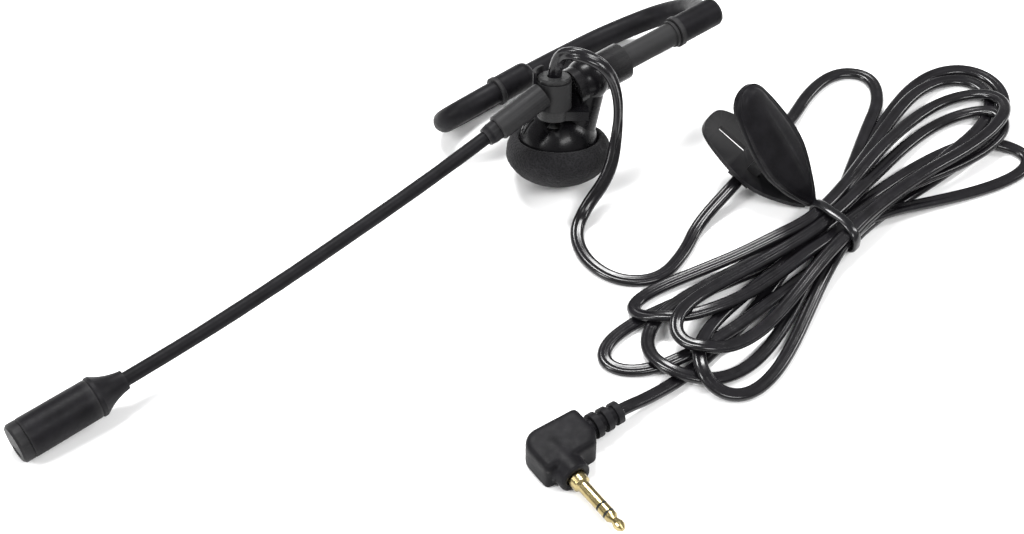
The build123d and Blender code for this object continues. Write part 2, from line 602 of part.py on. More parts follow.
front_lugs = [hinge_lug(FRONT, across, 0.9) for across in (2.3, -1.4)]
with BuildPart() as clip_front_plate:
    extrude(leaf_face(FRONT, FRONT_STRETCH), amount=PLATE_THICKNESS)
    add(front_lugs)
    # a low ridge down the middle, for grip
    with BuildSketch(FRONT.offset(PLATE_THICKNESS - 0.1)):
        with Locations((15.3, 0)):
            SlotOverall(16.8, 1.2)
    extrude(amount=0.6)
save(clip_front_plate, "clip_front_plate")

HINGE = Plane(origin=PIVOT, x_dir=CLIP_ACROSS, z_dir=CLIP_FACE)
save(ring_part(HINGE, -3.9, 3.9, PIN_HOLE), "clip_pin")
save(ring_part(HINGE, -1.2, 1.2, 1.25, 0.7), "clip_spring")

# =====================================================================================
# Cord: gland to hank, the hank, its tie, and hank to plug
# =====================================================================================
channel_middle = CLIP_TIP + CLIP_RISE * RING_ALONG - CLIP_FACE * (PLATE_THICKNESS + 2.2)
ring_in = channel_middle + CLIP_ACROSS * 5.5
ring_out = channel_middle - CLIP_ACROSS * 7.5
exit_low = POST_CENTRE + EAR_UP * 1.0
exit_high = POST_CENTRE + EAR_UP * 8.0
upper_route = [tuple(exit_low), tuple(exit_high), (42.8, -10.0, 34.2), (46.9, -14.9, 31.6),
               (48.4, -17.0, 24.0), (47.2, -18.4, 15.6), (42.4, -22.15, 9.5), (36.5, -21.35, 2.4),
               (31.2, -24.75, CORD_REST), (28.6, -32.35, CORD_REST), (30.6, -40.25, CORD_REST),
               (37.5, -44.65, CORD_REST), (46, -42.15, CORD_REST), (53.5, -37.55, CORD_REST),
               tuple(ring_in), tuple(ring_out),
               (88.5, -26.95, CORD_REST), (98.5, -22.35, CORD_REST), (107.2, -21.75, CORD_REST),
               (111.8, -27.15, CORD_REST), (108.2, -33.75, CORD_REST), (99.5, -38.75, CORD_REST),
                (90.5, -44.75, 2)]
print("upper radii", [round(r, 1) for r in bend_radii(upper_route)])
upper_cord = tube_part(upper_route, CORD_RADIUS)
save(upper_cord, "cord_upper")

lower_route = [tuple(PLUG_ELBOW + ARM_OUT * 15.9), (13.4, -67.8, 3.0), (20.5, -66.6, 2.6)]
print("lower radii", [round(r, 1) for r in bend_radii(lower_route)])
save(tube_part(lower_route, CORD_RADIUS), "cord_lower")

# The hank's outer shape: two fanned lobes of turns, drawn in to a waist by the tie.
HANK_EDGE = [(14.5, -54.35), (20.5, -48.35), (31.5, -44.35), (47, -48.35), (61, -51.9), (73, -52.4),
             (91, -45.9), (107, -37.35), (122, -33.95), (132.5, -39.85), (130, -53.35), (121.5, -66.35),
             (109, -70.35), (91, -65.85), (73, -62.35), (61, -64.35), (50, -69.85), (39, -75.55),
             (28, -74.35), (18, -64.85)]
waist_angle = math.radians(WAIST_HEADING)
WAIST_ALONG = Vector(math.cos(waist_angle), math.sin(waist_angle), 0)
WAIST_PLANE = Plane(origin=WAIST, x_dir=WAIST_ALONG.cross(UP) * -1, z_dir=WAIST_ALONG)
TIE_WIDTH = 2.4
TIE_BAND = 1.0
with BuildPart() as cord_hank:
    with BuildSketch(Plane.XY.offset(0.1)):
        with BuildLine():
            Spline(*HANK_EDGE, periodic=True)
        make_face()
    extrude(amount=HANK_HEIGHT)
    with BuildSketch(WAIST_PLANE.offset(-14)):
        with Locations((0, 0)):
            RectangleRounded(WAIST_WIDTH, WAIST_HEIGHT, 2.2)
    extrude(amount=28)
    with BuildSketch(WAIST_PLANE.offset(-TIE_WIDTH / 2 - 0.3)):
        Rectangle(40, 30)
        RectangleRounded(WAIST_WIDTH, WAIST_HEIGHT, 2.2, mode=Mode.SUBTRACT)
    extrude(amount=TIE_WIDTH + 0.6, mode=Mode.SUBTRACT)
    # room for the tip of the clip's front plate as it opens
    with BuildSketch(Plane.XY):
        with Locations((CLIP_TIP.X + 0.6, CLIP_TIP.Y - 0.6)):
            Circle(JAW_ROOM)
    extrude(amount=WAIST.Z + WAIST_HEIGHT, mode=Mode.SUBTRACT)
save(cord_hank, "cord_hank")

with BuildPart() as cord_tie:
    with BuildSketch(WAIST_PLANE.offset(-TIE_WIDTH / 2)):
        RectangleRounded(WAIST_WIDTH + 2 * TIE_BAND, WAIST_HEIGHT + 2 * TIE_BAND, 3.0)
        RectangleRounded(WAIST_WIDTH, WAIST_HEIGHT, 2.2, mode=Mode.SUBTRACT)
    extrude(amount=TIE_WIDTH)
save(cord_tie, "cord_tie")

lower_length = sum((Vector(*b) - Vector(*a)).length for a, b in zip(lower_route, lower_route[1:]))
upper_length = upper_cord.part.volume / (math.pi * CORD_RADIUS**2)
print("tube length", round(upper_length, 1), "lower runs", round(lower_length, 1))
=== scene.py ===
import json
import math

import bmesh
import bpy
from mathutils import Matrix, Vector, noise


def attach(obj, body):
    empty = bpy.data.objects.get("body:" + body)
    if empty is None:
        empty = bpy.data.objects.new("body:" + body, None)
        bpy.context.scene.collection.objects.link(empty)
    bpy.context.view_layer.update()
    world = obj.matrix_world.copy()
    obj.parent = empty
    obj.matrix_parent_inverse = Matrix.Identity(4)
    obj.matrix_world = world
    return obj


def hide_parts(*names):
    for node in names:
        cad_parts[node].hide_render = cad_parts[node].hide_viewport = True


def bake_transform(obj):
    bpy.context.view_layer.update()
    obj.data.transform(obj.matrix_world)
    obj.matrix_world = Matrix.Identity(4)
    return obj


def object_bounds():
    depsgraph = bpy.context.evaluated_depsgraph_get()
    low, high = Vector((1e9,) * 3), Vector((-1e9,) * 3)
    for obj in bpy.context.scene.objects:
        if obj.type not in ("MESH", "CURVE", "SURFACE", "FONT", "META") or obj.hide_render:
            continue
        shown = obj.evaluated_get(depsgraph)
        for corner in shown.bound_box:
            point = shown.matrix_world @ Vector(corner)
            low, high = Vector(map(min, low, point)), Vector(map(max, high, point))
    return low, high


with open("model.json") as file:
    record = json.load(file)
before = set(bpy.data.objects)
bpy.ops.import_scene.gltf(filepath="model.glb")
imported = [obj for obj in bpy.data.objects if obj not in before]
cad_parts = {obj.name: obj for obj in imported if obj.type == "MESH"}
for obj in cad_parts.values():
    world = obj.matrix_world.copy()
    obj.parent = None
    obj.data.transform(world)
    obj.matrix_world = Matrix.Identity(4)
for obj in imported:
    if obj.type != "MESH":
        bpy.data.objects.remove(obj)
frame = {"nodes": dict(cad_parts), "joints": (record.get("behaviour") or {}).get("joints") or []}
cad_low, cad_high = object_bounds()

# A headset microphone on a table. Metres, in the CAD model's own frame.

MM = 0.001
UP = Vector((0, 0, 1))


def mm(*values):
    """A point given in millimetres."""
    return Vector(values) * MM


def joint(name):
    """A joint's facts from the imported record."""
    return next(found for found in frame["joints"] if found["name"] == name)


# ---- camera -------------------------------------------------------------------------
AZIMUTH = math.radians(-37.6)
ELEVATION = math.radians(48)
DISTANCE = 0.480
LOOK_AT = mm(16.35, -23.27, 0)
back = Vector((math.sin(AZIMUTH) * math.cos(ELEVATION), -math.cos(AZIMUTH) * math.cos(ELEVATION),
               math.sin(ELEVATION)))
camera = bpy.data.objects.new("camera", bpy.data.cameras.new("camera"))
bpy.context.collection.objects.link(camera)
camera.location = LOOK_AT + back * DISTANCE
camera.rotation_mode = "QUATERNION"
camera.rotation_quaternion = (-back).to_track_quat("-Z", "Y")
camera.data.lens = 83.5
camera.data.sensor_width = 36
camera.data.clip_start = 0.01
bpy.context.scene.camera = camera


# ---- mesh helpers -------------------------------------------------------------------
def add_mesh(name, points, faces, smooth=True):
    """A new mesh object from points and faces."""
    mesh = bpy.data.meshes.new(name)
    mesh.from_pydata([tuple(point) for point in points], [], faces)
    mesh.validate()
    mesh.polygons.foreach_set("use_smooth", [smooth] * len(mesh.polygons))
    piece = bpy.data.objects.new(name, mesh)
    bpy.context.collection.objects.link(piece)
    return piece


def outward(piece):
    """Turns every face of a closed mesh outwards."""
    shape = bmesh.new()
    shape.from_mesh(piece.data)
    bmesh.ops.recalc_face_normals(shape, faces=shape.faces)
    shape.to_mesh(piece.data)
    shape.free()


def apply_modifiers(piece):
    """Replaces a piece's mesh with what its modifiers make of it."""
    graph = bpy.context.evaluated_depsgraph_get()
    mesh = bpy.data.meshes.new_from_object(piece.evaluated_get(graph))
    piece.modifiers.clear()
    piece.data = mesh


def rings_mesh(name, rings, capped=True):
    """A tube through rings of the same number of points."""
    count = len(rings[0])
    points = [point for ring in rings for point in ring]
    faces = []
    for row in range(len(rings) - 1):
        for column in range(count):
            after = (column + 1) % count
            faces.append((row * count + column, row * count + after,
                          (row + 1) * count + after, (row + 1) * count + column))
    if capped:
        faces.append(tuple(range(count)))
        faces.append(tuple((len(rings) - 1) * count + column for column in range(count)))
    piece = add_mesh(name, points, faces)
    outward(piece)
    return piece


def route_line(name, points, steps):
    """The smooth line of a NURBS spline with these control points."""
    curve = bpy.data.curves.new(name, "CURVE")
    curve.dimensions = "3D"
    spline = curve.splines.new("NURBS")
    spline.points.add(len(points) - 1)
    for control, place in zip(spline.points, points):
        control.co = (*place, 1)
    spline.order_u = 3
    spline.use_endpoint_u = True
    curve.resolution_u = steps
    holder = bpy.data.objects.new(name, curve)
    mesh = bpy.data.meshes.new_from_object(holder)
    line = [vertex.co.copy() for vertex in mesh.vertices]
    bpy.data.objects.remove(holder)
    bpy.data.meshes.remove(mesh)
    return [line[0]] + [b for a, b in zip(line, line[1:]) if (b - a).length > 1e-6]


def tangents(line):
    """The direction of a line at each of its points."""
    ends = zip([line[0]] + line[:-1], line[1:] + [line[-1]])
    return [(after - before).normalized() for before, after in ends]


def round_tube(name, line, radius, sides=20):
    """A round tube along a line. radius is a number or one for each point."""
    radii = radius if isinstance(radius, list) else [radius] * len(line)
    side = tangents(line)[0].orthogonal().normalized()
    rings = []
    for place, along, size in zip(line, tangents(line), radii):
        side = (side - along * side.dot(along)).normalized()
        other = along.cross(side)
        turns = [math.tau * step / sides for step in range(sides)]
        rings.append([place + (side * math.cos(turn) + other * math.sin(turn)) * size for turn in turns])
    return rings_mesh(name, rings)


# ---- materials ----------------------------------------------------------------------
class Nodes:
    """Adds and joins the nodes of one material."""

    def __init__(self, name):
        self.material = bpy.data.materials.new(name)
        self.material.use_nodes = True
        self.tree = self.material.node_tree
        self.shader = self.tree.nodes["Principled BSDF"]
        self.place = self.add("ShaderNodeTexCoord").outputs["Object"]

    def add(self, kind, **values):
        node = self.tree.nodes.new(kind)
        for key, value in values.items():
            setattr(node, key, value)
        return node

    def join(self, source, target):
        self.tree.links.new(source, target)

    def noise(self, size, detail=3.0, roughness=0.55, stretch=(1, 1, 1)):
        """Noise whose features are about size metres across."""
        mapping = self.add("ShaderNodeMapping")
        mapping.inputs["Scale"].default_value = stretch
        self.join(self.place, mapping.inputs["Vector"])
        texture = self.add("ShaderNodeTexNoise")
        texture.inputs["Scale"].default_value = 1 / size
        texture.inputs["Detail"].default_value = detail
        texture.inputs["Roughness"].default_value = roughness
        self.join(mapping.outputs["Vector"], texture.inputs["Vector"])
        return texture.outputs["Fac"]

    def cells(self, size):
        """Distances inside cells about size metres across."""
        texture = self.add("ShaderNodeTexVoronoi")
        texture.inputs["Scale"].default_value = 1 / size
        self.join(self.place, texture.inputs["Vector"])
        return texture.outputs["Distance"]

    def spread(self, source, low, high, from_low=0.3, from_high=0.7):
        """The source's usual range, moved to low and high."""
        node = self.add("ShaderNodeMapRange")
        node.inputs["From Min"].default_value = from_low
        node.inputs["From Max"].default_value = from_high
        node.inputs["To Min"].default_value = low
        node.inputs["To Max"].default_value = high
        self.join(source, node.inputs["Value"])
        return node.outputs["Result"]

    def colours(self, source, dark, light):
        """A blend from dark to light over the source's usual range."""
        ramp = self.add("ShaderNodeValToRGB")
        ramp.color_ramp.elements[0].position = 0.3
        ramp.color_ramp.elements[0].color = (*dark, 1)
        ramp.color_ramp.elements[1].position = 0.7
        ramp.color_ramp.elements[1].color = (*light, 1)
        self.join(source, ramp.inputs["Fac"])
        return ramp.outputs["Color"]

    def worn(self, colour, edge_colour, amount):
        """The colour, lighter where an edge is rubbed."""
        edge = self.add("ShaderNodeNewGeometry").outputs["Pointiness"]
        rubbed = self.spread(edge, 0, amount, 0.52, 0.60)
        mix = self.add("ShaderNodeMix", data_type="RGBA")
        self.join(rubbed, mix.inputs[0])
        self.join(colour, mix.inputs[6])
        mix.inputs[7].default_value = (*edge_colour, 1)
        return mix.outputs[2]

    def bump(self, height, depth, before=None):
        """A bump of this depth in metres, on top of the one before."""
        node = self.add("ShaderNodeBump")
        node.inputs["Strength"].default_value = 1
        node.inputs["Distance"].default_value = depth
        self.join(height, node.inputs["Height"])
        if before:
            self.join(before, node.inputs["Normal"])
        return node.outputs["Normal"]


def moulded(name, dark, light, gloss, matt, grain, depth, coat=0.0, wear=0.4, sheen=0.0, shine=0.09):
    """Moulded plastic or rubber: grain is its texture's size in metres, gloss and matt its roughness,
    shine its specular level and wear how light its rubbed edges are."""
    nodes = Nodes(name)
    cloud = nodes.noise(4 * MM, 4)
    base = nodes.colours(cloud, dark, light)
    nodes.join(nodes.worn(base, [0.05] * 3, wear), nodes.shader.inputs["Base Color"])
    smear = nodes.noise(2.2 * MM, 5, 0.65, (1, 1, 2.5))
    nodes.join(nodes.spread(smear, gloss, matt), nodes.shader.inputs["Roughness"])
    waves = nodes.bump(nodes.noise(3 * MM, 2), depth * 2)
    nodes.join(nodes.bump(nodes.noise(grain, 4), depth, waves), nodes.shader.inputs["Normal"])
    nodes.shader.inputs["Coat Weight"].default_value = coat
    nodes.shader.inputs["Coat Roughness"].default_value = 0.12
    nodes.shader.inputs["Sheen Weight"].default_value = sheen
    nodes.shader.inputs["Specular IOR Level"].default_value = shine
    return nodes.material


def metal(name, dark, light, gloss, matt, grain, depth, stretch):
    """Metal with fine turning or drawing lines."""
    nodes = Nodes(name)
    lines = nodes.noise(grain, 4, 0.6, stretch)
    nodes.join(nodes.colours(nodes.noise(3 * MM, 4), dark, light), nodes.shader.inputs["Base Color"])
    nodes.join(nodes.spread(lines, gloss, matt), nodes.shader.inputs["Roughness"])
    nodes.join(nodes.bump(lines, depth), nodes.shader.inputs["Normal"])
    nodes.shader.inputs["Metallic"].default_value = 1
    return nodes.material


def soft(name, dark, light, pore, depth, sheen=0.3):
    """Open-cell foam or felt, with pores about pore metres across; the pits of the pores are painted darker,
    as painted shade.
    """
    nodes = Nodes(name)
    cells = nodes.cells(pore)
    # painted shade: the colour is darker in the pits that the bump makes at the pores
    painted_pore_shade = nodes.spread(cells, 0.25, 0.75, 0.1, 0.7)
    nodes.join(nodes.colours(painted_pore_shade, dark, light), nodes.shader.inputs["Base Color"])
    nodes.join(nodes.spread(nodes.noise(pore * 3), 0.85, 1.0), nodes.shader.inputs["Roughness"])
    fine = nodes.bump(nodes.noise(pore * 0.5, 5, 0.7), depth * 0.5)
    nodes.join(nodes.bump(cells, depth, fine), nodes.shader.inputs["Normal"])
    nodes.shader.inputs["Sheen Weight"].default_value = sheen
    nodes.shader.inputs["Sheen Roughness"].default_value = 0.6
    nodes.shader.inputs["Specular IOR Level"].default_value = 0.2
    return nodes.material


GLOSSY = moulded("glossy_plastic", (0.0025, 0.0025, 0.003), (0.0055, 0.005, 0.006), 0.22, 0.34, 0.15 * MM,
                 0.003 * MM, 0.05, shine=0.13)
SATIN = moulded("satin_plastic", (0.003, 0.0028, 0.0035), (0.0075, 0.007, 0.0085), 0.40, 0.55, 0.14 * MM,
                0.012 * MM)
RUBBER = moulded("soft_rubber", (0.003, 0.0028, 0.0035), (0.007, 0.0066, 0.008), 0.42, 0.58, 0.2 * MM,
                 0.010 * MM, 0.0, 0.1, 0.01)
JACKET = moulded("cord_jacket", (0.003, 0.0027, 0.0033), (0.007, 0.0065, 0.008), 0.15, 0.28, 0.3 * MM,
                 0.008 * MM, 0.1, 0.05, shine=0.30)
TIE_GLOSS = moulded("tie_wire_jacket", (0.003, 0.003, 0.004), (0.006, 0.006, 0.007), 0.16, 0.28, 0.25 * MM,
                    0.006 * MM, 0.2, shine=0.25)
GOLD = metal("gold_plating", (0.24, 0.19, 0.085), (0.44, 0.36, 0.18), 0.14, 0.32, 0.10 * MM, 0.003 * MM,
             (0.2, 6, 1))
STEEL = metal("drawn_steel", (0.45, 0.45, 0.46), (0.62, 0.62, 0.63), 0.22, 0.40, 0.10 * MM, 0.004 * MM,
              (8, 1, 1))
NICKEL = metal("nickel_plating", (0.58, 0.57, 0.55), (0.72, 0.71, 0.69), 0.16, 0.30, 0.2 * MM, 0.002 * MM,
               (1, 1, 1))
COPPER = metal("enamelled_copper", (0.55, 0.22, 0.12), (0.75, 0.36, 0.20), 0.25, 0.4, 0.08 * MM, 0.02 * MM,
               (1, 1, 8))
INSULATOR = moulded("dark_insulator", (0.006, 0.007, 0.004), (0.014, 0.015, 0.009), 0.2, 0.35, 0.2 * MM,
                    0.003 * MM)
FILM = moulded("formed_film", (0.55, 0.54, 0.50), (0.70, 0.69, 0.66), 0.2, 0.35, 0.4 * MM, 0.02 * MM)
BOARD = moulded("printed_board", (0.02, 0.09, 0.04), (0.03, 0.14, 0.06), 0.35, 0.5, 0.3 * MM, 0.01 * MM)
FOAM = soft("open_cell_foam", (0.001, 0.001, 0.0013), (0.008, 0.0075, 0.009), 0.42 * MM, 0.16 * MM, 0.04)
FELT = soft("acoustic_felt", (0.015, 0.015, 0.015), (0.05, 0.05, 0.05), 0.15 * MM, 0.05 * MM)

NODE_MATERIALS = {
    "earpiece_shell": GLOSSY, "earbud_front": GLOSSY, "swivel_post": GLOSSY,
    "speaker_frame": SATIN, "speaker_yoke": STEEL, "speaker_magnet": NICKEL, "speaker_pole_plate": STEEL,
    "voice_coil": COPPER, "speaker_diaphragm": FILM, "vent_felt": FELT, "swivel_washer": SATIN,
    "boom_arm": SATIN, "boom_ferrule": SATIN, "mic_front_cap": SATIN, "mic_sleeve": SATIN, "mic_felt": FELT,
    "mic_grommet": RUBBER, "mic_capsule": NICKEL, "mic_board": BOARD, "mic_boot": RUBBER,
    "hook_bar": SATIN, "bar_stop_ring": SATIN, "bar_snap_ring": SATIN, "hook_sleeve": SATIN,
    "hook_tube": RUBBER, "hook_wire": STEEL, "hook_tip": SATIN,
    "plug_body": SATIN, "plug_relief": RUBBER, "plug_sleeve_contact": GOLD, "plug_ring_contact": GOLD,
    "plug_tip_contact": GOLD, "plug_insulators": INSULATOR,
    "clip_back_plate": SATIN, "clip_front_plate": SATIN, "clip_pin": SATIN, "clip_spring": STEEL,
}


def dress(piece, material):
    """Gives a piece one material."""
    piece.data.materials.clear()
    piece.data.materials.append(material)


for node, material in NODE_MATERIALS.items():
    for place in frame["nodes"][node].material_slots:
        place.link = "OBJECT"
        place.material = material

# ---- cord ---------------------------------------------------------------------------
# A flat twin cord. It leaves the top of the swivel post, arches down to the table, goes
# through the clip's ring, and is folded into a tied hank before it reaches the plug.
CORD_WIDTH = 2.8 * MM
CORD_THICKNESS = 1.5 * MM
WIRE_RADIUS = CORD_THICKNESS / 2
WIRE_ASIDE = (CORD_WIDTH - CORD_THICKNESS) / 2
LYING = 0.8

cord_exit = mm(39.523, -7.161, 24.131)
lead_points = [
    tuple(cord_exit / MM), (41.08, -5.14, 30.65), (42.8, -10.0, 34.2), (46.9, -14.9, 31.6),
    (48.4, -17.0, 24.0), (47.2, -18.4, 15.6), (42.4, -22.15, 9.5), (36.5, -21.35, 2.4),
    (31.2, -24.75, LYING), (28.6, -32.35, LYING), (30.6, -40.25, LYING),
    (37.5, -44.65, LYING), (46, -42.15, LYING), (53.5, -37.55, LYING),
    (64.79, -36.09, 4.51), (77.21, -32.42, 5.64),
    (88.5, -26.95, LYING), (98.5, -22.35, LYING), (107.2, -21.75, LYING),
    (111.8, -27.15, LYING), (108.2, -33.75, LYING), (99.5, -38.75, LYING), (90.5, -44.75, 2)]

# ---- hank: turns through the tie, first a lobe on the left, then one on the right ----
TIE_PLACE = Vector((73.0, -57.1))
HANK_HEADING = math.radians(14)
HANK_ALONG = Vector((math.cos(HANK_HEADING), math.sin(HANK_HEADING)))
HANK_ACROSS = Vector((-math.sin(HANK_HEADING), math.cos(HANK_HEADING)))
TIE_LEVELS = (2.0, 3.7, 5.4)
UPPER_COLUMNS = (4.1, 1.35)
LOWER_COLUMNS = (-4.1, -1.35)
LOBE_STEPS = 16
LOBE_BLUNT = 0.72
STRAND_PILE = 1.55
STRAND_REACH = 2.2

# Each lobe: its reach from the tie, how far its axis swings aside, and how wide it is.
LEFT_LOBES = ((56.0, 15.0, 9.5), (51.0, 5.5, 14.0), (49.0, -4.5, 10.5), (43.0, 17.5, 8.8), (45.0, 5.0, 9.5))
RIGHT_LOBES = ((60.5, 0.5, 14.0), (45.0, -17.5, 9.2), (57.0, 0.5, 11.0), (50.0, -8.0, 9.0),
               (54.5, -5.0, 10.0))


def hank_place(along, across):
    """A place on the table, in millimetres, from one in the hank's own directions."""
    return TIE_PLACE + HANK_ALONG * along + HANK_ACROSS * across


def lobe(side, reach, swing, width, enter, leave):
    """One lobe's places, teardrop shaped, from the tie round its end and back to the tie."""
    places = []
    for step in range(1, LOBE_STEPS):
        turn = math.tau * step / LOBE_STEPS
        out = ((1 - math.cos(turn)) / 2) ** LOBE_BLUNT
        at_tie = enter if step < LOBE_STEPS / 2 else leave
        bulge = -side * width * math.sin(turn) * abs(math.sin(turn / 2)) ** 1.2
        places.append(hank_place(side * reach * out, at_tie * (1 - out) ** 2 + swing * out ** 1.3 + bulge))
    return places


def resting_height(place, laid):
    """The height of a strand at a place: on the table, or on the strands laid before it."""
    height = LYING
    for other in laid:
        if (other.xy - place).length < STRAND_REACH:
            height = max(height, other.z + STRAND_PILE)
    return height


def eased(heights):
    """Heights with the dips between high points raised, as a springy cord bridges them."""
    for _ in range(4):
        for index in range(1, len(heights) - 1):
            bridge = (heights[index - 1] + heights[index + 1]) / 2 - 0.25
            heights[index] = max(heights[index], bridge)
    return heights


def filled(points):
    """Extra points between control points, a millimetre apart, for finding what a strand lies on."""
    places = []
    for start, end in zip(points, points[1:]):
        steps = max(1, int((end - start).length))
        places += [start.lerp(end, step / steps) for step in range(steps)]
    return places


def hank_points():
    """The control points of every turn of the hank, and of the stretch to the plug."""
    slots = [(column, level) for level in TIE_LEVELS for column in UPPER_COLUMNS]
    back_slots = [(column, level) for level in TIE_LEVELS for column in LOWER_COLUMNS]
    last_stretch = [Vector((*hank_place(-14, 2.5), LYING + 0.4)), Vector((*hank_place(-28, 1.0), LYING)),
                    Vector((*hank_place(-40, 1.5), LYING)), Vector((*hank_place(-50.2, 2.1), LYING + 0.3)),
                    Vector((14.5, -67.5, 2.4)), Vector((10.6, -67.3, 3.2)), Vector((7.99, -67.2, 3.3))]
    laid = filled(last_stretch)
    points = []
    for turn, (left, right) in enumerate(zip(LEFT_LOBES, RIGHT_LOBES)):
        enter, leave = slots[(turn + 1) % 6], back_slots[turn]
        following = slots[(turn + 2) % 6]
        for side, shape, come, go in ((-1, left, enter, leave), (1, right, leave, following)):
            across, level = come
            points.append(Vector((*hank_place(0, across), level)))
            places = lobe(side, *shape, across, go[0])
            heights = [resting_height(place, laid) for place in places]
            for index, height in zip((0, 1, -2, -1), (come[1], come[1], go[1], go[1])):
                share = 0.75 if index in (0, -1) else 0.35
                heights[index] = heights[index] * (1 - share) + height * share
            heights = eased([come[1]] + heights + [go[1]])[1:-1]
            strand = [Vector((*place, height)) for place, height in zip(places, heights)]
            laid += filled(strand)
            points += strand
    across, level = slots[0]
    points.append(Vector((*hank_place(0, across), level)))
    return points + last_stretch


cord_points = [mm(*point) for point in lead_points] + [point * MM for point in hank_points()]
cord_line = route_line("cord_route", cord_points, 7)


def cord_section():
    """The outline of the twin cord: two round wires side by side, with a groove between."""
    outline = []
    for side in (1, -1):
        for step in range(9):
            turn = math.radians(-130 + 260 * step / 8)
            wide = side * (WIRE_ASIDE + WIRE_RADIUS * math.cos(turn))
            outline.append((wide, side * WIRE_RADIUS * math.sin(turn)))
    return outline


def cord_sides(line):
    """The cord's width direction at each point: it turns as little as it can, and lies flat on the table."""
    side = Vector((0.6, -0.8, 0)).normalized()
    sides = []
    for along in tangents(line):
        side = (side - along * side.dot(along)).normalized()
        flat = UP.cross(along)
        if flat.length > 0.3:
            flat = flat.normalized() if flat.dot(side) >= 0 else -flat.normalized()
            side = side.lerp(flat, 0.12).normalized()
        sides.append(side)
    return sides


def flat_cord(name, line):
    """The cord's mesh along its line."""
    rings = []
    for place, along, side in zip(line, tangents(line), cord_sides(line)):
        other = along.cross(side).normalized()
        rings.append([place + side * x + other * y for x, y in cord_section()])
    return rings_mesh(name, rings)


cord = flat_cord("cord", cord_line)
dress(cord, JACKET)
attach(cord, "earpiece")
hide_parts("cord_upper", "cord_hank", "cord_lower")

# ---- tie: a glossy band round the strands ---------------------------------------------
TIE_HALF_WIDTH = 6.25 * MM
TIE_HALF_HEIGHT = 3.3 * MM
TIE_MIDDLE = 3.85 * MM
TIE_BAND = (1.15 * MM, 0.5 * MM)
TIE_LEAN = 1.5 * MM
TIE_STEPS = 72


def squared(value, power):
    """A sine or cosine pushed towards a square's."""
    return math.copysign(abs(value) ** power, value)


def tie_mesh():
    """A band of oval section, on a rounded oblong loop that leans a little."""
    along = Vector((*HANK_ALONG, 0))
    across = Vector((*HANK_ACROSS, 0))
    centre = Vector((*TIE_PLACE, 0)) * MM + UP * TIE_MIDDLE
    rings = []
    for step in range(TIE_STEPS):
        turn = math.tau * step / TIE_STEPS
        out = across * squared(math.cos(turn), 0.75) * TIE_HALF_WIDTH
        out += UP * squared(math.sin(turn), 0.75) * TIE_HALF_HEIGHT
        place = centre + out + along * TIE_LEAN * math.cos(turn)
        face = (across * squared(math.cos(turn), 1.4) + UP * squared(math.sin(turn), 1.4)).normalized()
        turns = [math.tau * part / 16 for part in range(16)]
        rings.append([place + along * TIE_BAND[0] * squared(math.cos(part), 0.8)
                      + face * TIE_BAND[1] * squared(math.sin(part), 0.8) for part in turns])
    return rings_mesh("hank_tie", rings + [rings[0]], capped=False)


tie = tie_mesh()
dress(tie, TIE_GLOSS)
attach(tie, "earpiece")
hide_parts("cord_tie")

# ---- boom: one soft sleeve over one wire, running across the boom's joint --------------
BOOM_RADIUS = 1.45 * MM
BOOM_WIRE_RADIUS = 0.5 * MM
SLEEVE_WAVER = 0.035 * MM
BOOM_OUT = Vector((-0.99979, 0.0204, 0))
BOOM_FOOT = mm(39.3, -7.45, 0)
BOOM_ROUTE = ((10.0, 22.49), (23.0, 18.95), (37.0, 15.75), (52.0, 12.8), (66.0, 10.2), (82.0, 7.85),
              (96.0, 6.4), (107.2, 5.58))
boom_points = [BOOM_FOOT + (BOOM_OUT * reach + UP * height) * MM for reach, height in BOOM_ROUTE]
boom_line = route_line("boom_route", boom_points, 16)


def bends_with_boom(piece, slot_name, *nodes):
    """A piece that runs from the boom's near half to its far half."""
    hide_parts(*nodes)
    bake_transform(piece)


sleeve_radii = [BOOM_RADIUS + SLEEVE_WAVER * noise.noise(place * 260) for place in boom_line]
boom_sleeve = round_tube("boom_sleeve", boom_line, sleeve_radii, 28)
dress(boom_sleeve, RUBBER)
bends_with_boom(boom_sleeve, "soft_sleeve", "boom_tube_near", "boom_tube_far")
boom_wire = round_tube("boom_wire", boom_line[4:-4], BOOM_WIRE_RADIUS, 10)
dress(boom_wire, STEEL)
bends_with_boom(boom_wire, "steel", "boom_wire_near", "boom_wire_far")

# ---- plug: its overmould has soft, melted-looking edges --------------------------------
SOFT_GRID = 0.22 * MM
SOFT_PASSES = 26


def softened(node):
    """A new piece with a CAD node's shape and its edges rounded over."""
    source = frame["nodes"][node]
    piece = bpy.data.objects.new(node + "_moulding", source.data.copy())
    piece.data.transform(source.matrix_world)
    bpy.context.collection.objects.link(piece)
    grid = piece.modifiers.new("grid", "REMESH")
    grid.mode = "VOXEL"
    grid.voxel_size = SOFT_GRID
    grid.use_smooth_shade = True
    melt = piece.modifiers.new("melt", "SMOOTH")
    melt.factor = 0.5
    melt.iterations = SOFT_PASSES
    apply_modifiers(piece)
    return piece


plug = softened("plug_body")
dress(plug, SATIN)
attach(plug, "earpiece")
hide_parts("plug_body")

# ---- foam cover: a stretched cap of open-cell foam, with a rolled lip ------------------
hub = Vector(joint("hook_turn")["pos_m"])
ear_up = Vector(joint("boom_swivel")["axis"]).normalized()
ear_across = ear_up.cross(UP).normalized()
ear_side = ear_up.cross(ear_across)
rim = hub - ear_across * 5.7 * MM - ear_up * 14.0 * MM
FOAM_OUTLINE = ((-4.42, 0.02), (-4.42, 4.5), (-4.40, 8.1), (-1.5, 8.25), (1.0, 8.25), (1.55, 8.5), (1.6, 9.2),
                (0.9, 10.1), (-0.3, 10.7), (-1.9, 10.93), (-3.6, 10.6), (-5.6, 9.2), (-7.2, 6.9), (-8.1, 4.4),
                (-8.55, 2.2), (-8.64, 0.02))
FOAM_SIDES = 180
PORE_DEPTH = 0.07
DENT_DEPTH = 0.08
FOAM_SINK = 0.05


